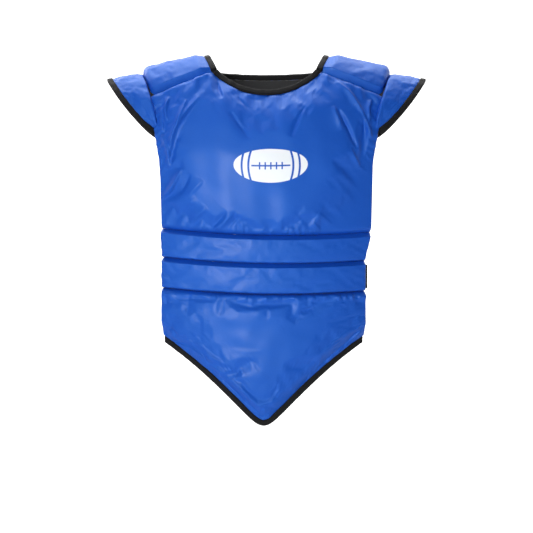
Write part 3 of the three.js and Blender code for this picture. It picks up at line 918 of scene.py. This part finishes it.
def pad_relief(seed):
    def relief(place):
        u, v = place.u, place.v
        h = 0.5 * ripple(u, v, 80, seed) + 0.2 * ripple(u, v, 26, seed + 1)
        length = place.v.max()
        gap = np.minimum(v, length - v)
        return h + seam_pucker(u, gap, 17, 7, 0.5, seed + 2)

    return relief


def cap_relief(seed):
    def relief(place):
        u, v = place.u, place.v
        h = 0.6 * ripple(u, v, 70, seed) + 0.2 * ripple(u, v, 24, seed + 1)
        from_edge = place.v.max() - v
        h = h + seam_pucker(u, from_edge, 12, 11, 1.1, seed + 2)
        return h + seam_pucker(u, v, 19, 10, 0.9, seed + 3)

    return relief


# ------------------------------------------------------------------ cloth settling on its foam
def cubic_weights(places, count):
    """Rows of Catmull-Rom weights that read a line of count even samples at the places."""
    at = clamp01(places) * (count - 1)
    low = np.clip(at.astype(int), 0, count - 2)
    t = (at - low)[:, None]
    parts = np.concatenate([-t + 2 * t**2 - t**3, 2 - 5 * t**2 + 3 * t**3,
                            t + 4 * t**2 - 3 * t**3, -(t**2) + t**3], axis=1) / 2
    weights = np.zeros((len(places), count))
    for k in range(4):
        np.add.at(weights, (np.arange(len(places)), np.clip(low + k - 1, 0, count - 1)), parts[:, k])
    return weights


def settled(sheet, relief, spare, push, seed):
    """How far cloth cut a little too large for its foam moves when it is sewn down: a coarse
    grid held along its four edges, pushed out gently, and left to settle for twenty frames.
    Gives the movement off the foam in millimetres, over even steps of p and q."""
    middle = np.array([0.5])
    rows, cols = (int(sheet.span(axis, middle)[0] / CLOTH_CELL) + 1 for axis in (0, 1))
    p, q = np.meshgrid(np.linspace(0, 1, rows), np.linspace(0, 1, cols), indexing="ij")
    base, normal, _, _ = sheet.frame(p, q)
    flat = base + normal * sheet.thickness(p, q)[..., None]
    u, v = arc_length(flat, 0), arc_length(flat, 1)
    height = relief(Place(flat[..., 0], flat[..., 2], p, q, u, v))
    start = flat + normal * (height + START_WAVE * spare * ripple(u, v, 34, seed))[..., None]
    index = np.arange(rows * cols).reshape(rows, cols)
    quads = np.stack([index[:-1, :-1], index[1:, :-1], index[1:, 1:], index[:-1, 1:]], -1)
    across, along = start[1, 0] - start[0, 0], start[0, 1] - start[0, 0]
    if np.cross(across, along) @ normal[0, 0] < 0:
        quads = quads[..., ::-1]
    mesh = bpy.data.meshes.new("settling_cloth")
    mesh.from_pydata((start * MM).reshape(-1, 3).tolist(), [], quads.reshape(-1, 4).tolist())
    cloth = bpy.data.objects.new("settling_cloth", mesh)
    bpy.context.scene.collection.objects.link(cloth)
    edge = np.concatenate([index[0], index[-1], index[:, 0], index[:, -1]])
    cloth.vertex_groups.new(name="sewn edge").add(np.unique(edge).tolist(), 1.0, "REPLACE")
    settings = cloth.modifiers.new("settling", "CLOTH").settings
    settings.vertex_group_mass = "sewn edge"
    settings.quality = 5
    settings.mass = 0.12
    settings.air_damping = 3.0
    settings.tension_stiffness = settings.compression_stiffness = 18.0
    settings.shear_stiffness = 6.0
    settings.bending_stiffness = 0.25
    settings.shrink_min = -spare
    settings.use_pressure = True
    settings.uniform_pressure_force = push
    settings.effector_weights.gravity = 0.0
    for frame_number in range(1, 21):
        bpy.context.scene.frame_set(frame_number)
    held = cloth.evaluated_get(bpy.context.evaluated_depsgraph_get()).data
    moved = np.empty(rows * cols * 3, np.float32)
    held.vertices.foreach_get("co", moved)
    off = ((moved.reshape(start.shape) / MM - flat) * normal).sum(-1) - height
    bpy.data.objects.remove(cloth)
    bpy.data.meshes.remove(mesh)
    bpy.context.scene.frame_set(1)
    return np.clip(off, SETTLED_IN, SETTLED_OUT)


# ------------------------------------------------------------------ sewn sections
def sewn_section(name, body, sheet, edges, counts, relief, seed, spare, push=0.6, full=PANEL,
                 cloth=None, sign=1, tuck=0.15):
    """Cover, foam and lining of one padded section, each standing for its CAD node. tuck is
    how far the lining's first edge is drawn in."""
    drawn = settled(sheet, relief, spare, push, seed)

    def held(place):
        rows = cubic_weights(place.p[:, place.p.shape[1] // 2], drawn.shape[0])
        cols = cubic_weights(place.q[place.q.shape[0] // 2], drawn.shape[1])
        return sunk(relief(place) + rows @ drawn @ cols.T)

    outer, normal, uv = shell(sheet, edges, counts, full, held)
    inner = outer - grid_normals(outer, normal) * CLOTH
    cover = grid_solid(f"{name}_cover_sewn", handed(outer, sign), handed(inner, sign), uv)
    hold(cover, body, cloth or NYLON, "cover_nylon", f"{name}_cover")

    coarse = tuple(max(8, c // 4) for c in counts)
    slab_edges = tuple(e._replace(seam=min(e.seam, 5.0), power=max(e.power, 1.6)) for e in edges)
    top, _, foam_uv = shell(sheet, slab_edges, coarse, full, None, lower=FOAM_DOWN, sink=FOAM_IN)
    flat = flattened(sheet, slab_edges, coarse, full, FOAM_IN, FOAM_LOW)
    slab = grid_solid(f"{name}_foam_slab", handed(top, sign), handed(flat, sign), foam_uv)
    hold(slab, body, FOAM, "panel_foam", f"{name}_foam")

    plain = Edge(0.15, RIM, 1.0, 2.0)
    cloth_edges = (plain, plain, plain._replace(gap=tuck), plain)
    upper = flattened(sheet, cloth_edges, coarse, full, 0.0, LINING_TOP)
    under = flattened(sheet, cloth_edges, coarse, full, 0.0, LINING_LOW, quilt=1.0)
    lining_uv = np.stack([arc_length(upper, 0), arc_length(upper, 1)], axis=-1) * MM
    lining = grid_solid(f"{name}_lining_cloth", handed(upper, sign), handed(under, sign), lining_uv)
    hold(lining, body, MESH, "lining_mesh", f"{name}_lining")


def flattened(sheet, edges, counts, full, sink, height, quilt=0.0):
    """The same grid as a shell's, laid at one height; quilt lets the lining sag between seams."""
    p, q, _ = grid_fractions(sheet, edges, counts, full, sink)
    base, normal, _, _ = sheet.frame(p, q)
    u, v = arc_length(base, 0), arc_length(base, 1)
    soft = np.minimum(np.minimum(p, 1 - p), np.minimum(q, 1 - q))
    sag = quilt * ease(soft * 9) * (0.7 * ripple(u, v, 55, 61) - 0.9)
    return base + normal * (height + sag)[..., None]


# ------------------------------------------------------------------ bindings
def edge_frames(sheet, edge, t):
    """Point, outward direction in the sheet, and normal, along one edge at fractions t."""
    fixed = np.full_like(t, 0.0 if edge[1] == "0" else 1.0)
    sign = -1.0 if edge[1] == "0" else 1.0
    p, q = (t, fixed) if edge[0] == "q" else (fixed, t)
    point, normal, across, along = sheet.frame(p, q)
    tangent, out = (across, along) if edge[0] == "q" else (along, across)
    out = out * sign
    out = unit(out - (out * tangent).sum(-1, keepdims=True) * tangent)
    return point, out, normal, sheet.thickness(p, q)


def binding(name, body, sheet, edge, steps, start=0.0, end=1.0, sign=1, depth=9.5, seed=71,
            trim=None):
    """Woven tape folded over an edge: a flattened oval section, swept along the edge, a little
    uneven where it was eased round the curve. trim cuts its ends off at two x values."""
    t = np.linspace(start, end, steps)
    point, out, normal, thick = edge_frames(sheet, edge, t)
    length = run_length(point)
    around = np.linspace(0, 2 * math.pi, 24, endpoint=False)
    c, s = np.cos(around), np.sin(around)
    wide, tall = (TAPE + 2.2) / 2, depth / 2
    section_out = TAPE - wide + wide * np.sign(c) * np.abs(c) ** 0.62
    section_up = tall * np.sign(s) * np.abs(s) ** 0.62
    lip = 0.5 * np.exp(-((section_out - 0.6) / 1.1) ** 2) * np.sign(s)
    middle = np.maximum(thick - tall + 1.0, tall + 0.2)
    ease_in = 0.35 * ripple(length, 0 * length, 22, seed)
    rings = (point[:, None] + out[:, None] * (section_out[None, :, None] + 0 * length[:, None, None])
             + normal[:, None] * (middle[:, None] + ease_in[:, None] + section_up + lip)[..., None])
    if trim:
        rings[..., 0] = np.clip(rings[..., 0], *trim)
    girth = around / (2 * math.pi) * 2 * (TAPE + depth)
    uv = np.stack(np.broadcast_arrays(length[:, None], girth[None, :]), axis=-1) * MM
    piece = tube(f"{name}_tape", handed(rings, sign), uv)
    hold(piece, body, BINDING, "edge_binding", name)
    high = middle + tall + 0.15
    rows = point + out * 1.6 + normal * (high + ease_in)[:, None]
    stitches(f"{name}_stitching", body, handed(rows, sign), handed(normal, sign), BINDING,
             "edge_binding", pitch=4.2, long=2.9)


# ------------------------------------------------------------------ stitching
def stitches(name, body, path, normal, cloth, slot, pitch=3.6, long=2.5, thick=0.42):
    """A row of lockstitches along a path: each a small spindle that dips in at both ends."""
    length = run_length(path)
    centres = np.arange(pitch, length[-1] - pitch, pitch)

    def at(values, where):
        return np.stack([np.interp(where, length, values[:, k]) for k in range(3)], axis=-1)

    middle, up = at(path, centres), unit(at(normal, centres))
    forward = unit(at(path, centres + 0.5) - at(path, centres - 0.5))
    sideways = unit(np.cross(forward, up))
    slices = np.array([-1.0, -0.55, 0.0, 0.55, 1.0])
    fat = np.sqrt(np.maximum(1 - slices**2, 0.02)) * thick
    turn = np.linspace(0, 2 * math.pi, 6, endpoint=False)
    points = (middle[:, None, None] + forward[:, None, None] * (slices * long / 2)[:, None, None]
              + sideways[:, None, None] * (fat[:, None] * np.cos(turn))[..., None]
              + up[:, None, None] * (fat[:, None] * np.sin(turn) - 0.35 * (slices**2)[:, None])[..., None])
    count, rings, sides, _ = points.shape
    index = np.arange(rings * sides).reshape(rings, sides)
    turned = np.roll(index, -1, axis=1)
    quads = np.stack([index[:-1], turned[:-1], turned[1:], index[1:]], axis=-1).reshape(-1, 4)
    caps = np.array([[0, 5, 4, 3], [0, 3, 2, 1]])
    caps = np.concatenate([caps, (caps + (rings - 1) * sides)[:, ::-1]])
    local = np.concatenate([quads, caps])
    faces = (local[None] + (np.arange(count) * rings * sides)[:, None, None]).reshape(-1, 4)
    flat = points.reshape(-1, 3)
    uv = np.stack([flat[:, 0] + flat[:, 2], flat[:, 1]], axis=-1) * MM
    piece = add_mesh(name, flat, [faces], uv)
    hold(piece, body, cloth, slot)


def seam_row(name, body, sheet, edge, inset, height, start=0.0, end=1.0, sign=1, steps=160):
    """Stitching along a sheet's edge, a little way in from it and above its inner face."""
    t = np.linspace(start, end, steps)
    point, out, normal, _ = edge_frames(sheet, edge, t)
    path = point - out * inset + normal * height
    stitches(name, body, handed(path, sign), handed(normal, sign), THREAD, "cover_nylon")


# ------------------------------------------------------------------ straps
# From the panel's edge outwards: the piece's name and its node's, how far out it lies, its
# thickness, front and rear ends and width, its cloth and slot, and the seed of its unevenness.
Strip = namedtuple("Strip", "piece node out thick front rear width cloth slot seed")
TAB = Strip("tab_web", "tab", 0.0, 1.8, 18, 76, 52, ELASTIC, "strap_elastic", 81)
LOOP = Strip("loop_pile", "loop_patch", 2.2, 1.1, 24, 66, 44, LOOPS, "loop_tape", 82)
HOOK = Strip("hook_pile", "hook_pad", 3.6, 0.9, 20, 58, 44, HOOKS, "hook_tape", 83)
STRAP = Strip("strap_web", "strap", 4.9, 2.0, -83, 62, 50, ELASTIC, "strap_elastic", 84)
TAB_IN = 3  # the tab lies this far inside the panel's half width
TACKS = (-76, -68, 16, 58)  # where the strap is sewn across


def strip(name, body, sign, x, z, size):
    """A flat strap, patch or tab standing front to back: a rounded outline with a raised
    selvedge, a little uneven."""
    long = size.rear - size.front
    s = np.linspace(0, 1, max(12, int(long / 2)))[:, None]
    w = np.linspace(-1, 1, 20)[None, :]
    corner = 6 / long
    trim = np.sqrt(np.maximum(1 - np.maximum(0, (s - 1 + corner) / corner) ** 2 * 0.35, 0.1))
    y = mix(size.front, size.rear, s) + 0 * w
    zz = z + w * size.width / 2 * trim
    uneven = 0.15 * ripple(y, zz, 30, size.seed)
    selvedge = 0.25 * np.exp(-((np.abs(w) - 0.9) / 0.08) ** 2)
    outer = np.stack([x + size.out + size.thick + uneven + selvedge, y, zz], axis=-1)
    inner = np.stack([x + size.out + uneven, y, zz], axis=-1)
    uv = np.stack([y, zz], axis=-1) * MM
    piece = grid_solid(f"{name}_{size.piece}", handed(outer, sign), handed(inner, sign), uv)
    hold(piece, body, size.cloth, size.slot, f"{name}_{size.node}")


def side_straps(hand, sign):
    for level, z in STRAP_HEIGHTS.items():
        name = f"{level}_{hand}"
        back = "upper_back" if level == "upper" else "back_lower_rib"
        strap = f"{name}_strap"
        x = float(half_width(z)) - TAB_IN
        for size, body in ((TAB, back), (LOOP, back), (HOOK, strap), (STRAP, strap)):
            strip(name, body, sign, x, z, size)
        for y in TACKS:
            across = np.linspace(z - 22, z + 22, 30)
            path = np.stack([np.full(30, x + 7.1), np.full(30, float(y)), across], axis=-1)
            normal = np.tile([1.0, 0, 0], (30, 1))
            stitches(f"{name}_tack_{y + 100}", strap, handed(path, sign), handed(normal, sign),
                     BINDING, "strap_elastic")


# ------------------------------------------------------------------ the suit
SEEDS = {name: 200 + 7 * i for i, name in enumerate(FOLDS)}


def torso(side, names, flap, reliefs, cloth):
    upper, rib_1, rib_2, low = names
    sheets = (upper_panel(side), rib_panel(side, SEAM_1, SEAM_2),
              rib_panel(side, SEAM_2, SEAM_3), flap_panel(side, flap))
    columns = 212
    edges = ((GUSSET, GUSSET, SOFT_SEAM, SOFT_SEAM), (GUSSET, GUSSET, FACET, TIGHT),
             (GUSSET, GUSSET, FACET, TIGHT), (GUSSET, GUSSET, SOFT_SEAM, BOUND))
    rows = (142, 28, 30, 124 if side == FRONT else 70)
    for name, sheet, edge, count, relief in zip(names, sheets, edges, rows, reliefs):
        fine = columns if side == FRONT else 150
        taut = name in (rib_1, rib_2)
        sewn_section(name, name, sheet, edge, (fine, count), relief,
                     cloth=cloth if name == upper else None, seed=SEEDS[name],
                     spare=0.002 if taut else 0.010 if name == low else 0.016,
                     push=0.2 if taut else 0.6)
    front = side == FRONT
    start = 0.5 - 0.5 * (NECK_X - 3) / float(half_width(SHOULDER_Z))
    binding("front_neck_binding" if front else "back_neck_binding", upper, sheets[0], "q0", 90,
            start, 1 - start)
    side_x = float(half_width(HEM_Z)) - 0.5
    shift = float(drape(side, 0.0, float(HEM_Z))[0])
    binding(f"{low}_binding", low, sheets[3], "q1", 200, trim=(shift - side_x, shift + side_x))
    for name, sheet in zip((rib_1, rib_2, low), sheets[1:]):
        seam_row(f"{name}_seam", name, sheet, "q0", 0.3, 7.6, 0.02, 0.98)
        seam_row(f"{name}_topstitch", name, sheet, "q0", 2.6, 11.5, 0.03, 0.97)
    return sheets


torso(FRONT, ("chest", "upper_rib", "lower_rib", "groin_flap"), FLAP,
      (chest_relief, rib_relief(11, 2.2), rib_relief(15, 0.66), flap_relief), CHEST_NYLON)
torso(BACK, ("upper_back", "back_upper_rib", "back_lower_rib", "tail_flap"), TAIL,
      (back_relief, rib_relief(55, 0.0), rib_relief(58, 0.0), tail_relief), NYLON)

PAD_EDGES = (BOUND, Edge(0.2, 4.0, 15.0, 2.0), Edge(0.15, 7.0, 7.5, 1.1), FACET)
CAP_EDGES = (Edge(0.3, RIM, 4.0, 2.0), Edge(0.3, RIM, 4.0, 2.0), Edge(0.2, 7.0, 6.0, 2.0), BOUND)
pad, cap = pad_sheet(), cap_sheet()
for hand, sign in (("left", 1), ("right", -1)):
    seed = 90 if sign > 0 else 120
    sewn_section(f"{hand}_shoulder_pad", "shoulders", pad, PAD_EDGES, (56, 84),
                 pad_relief(seed), seed + 6, spare=0.004, full=PAD_THICK, sign=sign)
    binding(f"{hand}_neck_binding", "shoulders", pad, "p0", 70, 0.005, 0.995, sign=sign)
    seam_row(f"{hand}_front_shoulder_seam", "shoulders", pad, "q0", 0.3, 7.4, 0.01, 0.99, sign, 70)
    seam_row(f"{hand}_back_shoulder_seam", "shoulders", pad, "q1", 0.3, 7.4, 0.01, 0.99, sign, 70)
    sewn_section(f"{hand}_cap", f"{hand}_cap", cap, CAP_EDGES, (120, 30), cap_relief(seed + 10),
                 seed + 5, spare=0.007, full=CAP_SEAM_THICK, sign=sign, tuck=-9.0)
    binding(f"{hand}_cap_binding", f"{hand}_cap", cap, "q1", 110, 0.0, 1.0, sign=sign, depth=8)
    seam_row(f"{hand}_armhole_seam", f"{hand}_cap", cap, "q0", 1.0, 5.0, 0.02, 0.98, sign)
    side_straps(hand, sign)


# ------------------------------------------------------------------ stage, lights and camera
def stage():
    """A pale floor that looks white but throws little light."""
    half, floor_z = 30.0, -1.45
    corners = [(x * half, y * half, floor_z) for x, y in ((-1, -1), (1, -1), (1, 1), (-1, 1))]
    mesh = bpy.data.meshes.new("studio_floor")
    mesh.from_pydata(corners, [], [(0, 1, 2, 3)])
    floor = bpy.data.objects.new("studio_floor", mesh)
    bpy.context.scene.collection.objects.link(floor)

    pale = bpy.data.materials.new("pale floor")
    pale.use_nodes = True
    shader = pale.node_tree.nodes["Principled BSDF"]
    shader.inputs["Base Color"].default_value = (0.8, 0.8, 0.8, 1)
    shader.inputs["Roughness"].default_value = 0.9
    shader.inputs["Emission Color"].default_value = (1, 1, 1, 1)
    n = Nodes(pale.node_tree)
    seen = n.add("ShaderNodeLightPath").outputs["Is Camera Ray"]
    n.feed(shader.inputs["Emission Strength"],
           n.add("ShaderNodeMapRange", None, Value=seen, To_Min=0.04, To_Max=1.0).outputs[0])
    mesh.materials.append(pale)


def softbox(name, place, aim, size, power, spread=180):
    """A rectangular lamp of a size in metres, aimed at a point, in watts and degrees."""
    light = bpy.data.lights.new(name, "AREA")
    light.shape = "RECTANGLE"
    light.size, light.size_y = size
    light.energy = power
    light.spread = math.radians(spread)
    lamp = bpy.data.objects.new(name, light)
    lamp.location = place
    lamp.rotation_euler = (Vector(aim) - Vector(place)).to_track_quat("-Z", "Y").to_euler()
    bpy.context.scene.collection.objects.link(lamp)


def lights():
    """A tall key before the chest, one lamp over the shoulders, one behind, and a white room."""
    world = bpy.data.worlds.new("studio")
    bpy.context.scene.world = world
    world.use_nodes = True
    n = Nodes(world.node_tree)
    background = world.node_tree.nodes["Background"]
    seen = n.add("ShaderNodeLightPath").outputs["Is Camera Ray"]
    way = n.add("ShaderNodeSeparateXYZ", None,
                Vector=n.add("ShaderNodeTexCoord").outputs["Generated"]).outputs["Y"]
    behind = n.add("ShaderNodeMapRange", dict(interpolation_type="SMOOTHSTEP"), Value=way,
                   From_Min=-0.1, From_Max=0.5, To_Min=0.05, To_Max=1.8)
    strength = n.math("MAXIMUM", seen, behind.outputs[0])
    n.feed(background.inputs["Strength"], strength)
    background.inputs["Color"].default_value = (1, 1, 1, 1)
    softbox("key", (-1.1, -4.0, 0.0), (-0.04, -0.1, -0.33), (1.0, 1.7), 5.3, 26)
    softbox("shoulders", (-0.25, 0.4, 1.9), (0, 0, 0), (2.4, 0.9), 18, 110)
    softbox("rim", (-1.4, 1.6, 1.3), (0, 0, -0.1), (1.6, 1.2), 22)


def camera():
    """Level with the ribs, far enough back that the caps and the chest keep their sizes."""
    data = bpy.data.cameras.new("view")
    distance, seen_width, plane = 6.0, 1.1196, -0.12
    data.sensor_width = 36.0
    data.lens = data.sensor_width * (distance + plane) / seen_width
    eye = bpy.data.objects.new("view", data)
    eye.location = (0, -distance, -0.396)
    eye.rotation_euler = (math.pi / 2, 0, 0)
    bpy.context.scene.collection.objects.link(eye)
    bpy.context.scene.camera = eye


stage()
lights()
camera()
bpy.context.scene.view_settings.view_transform = "Standard"
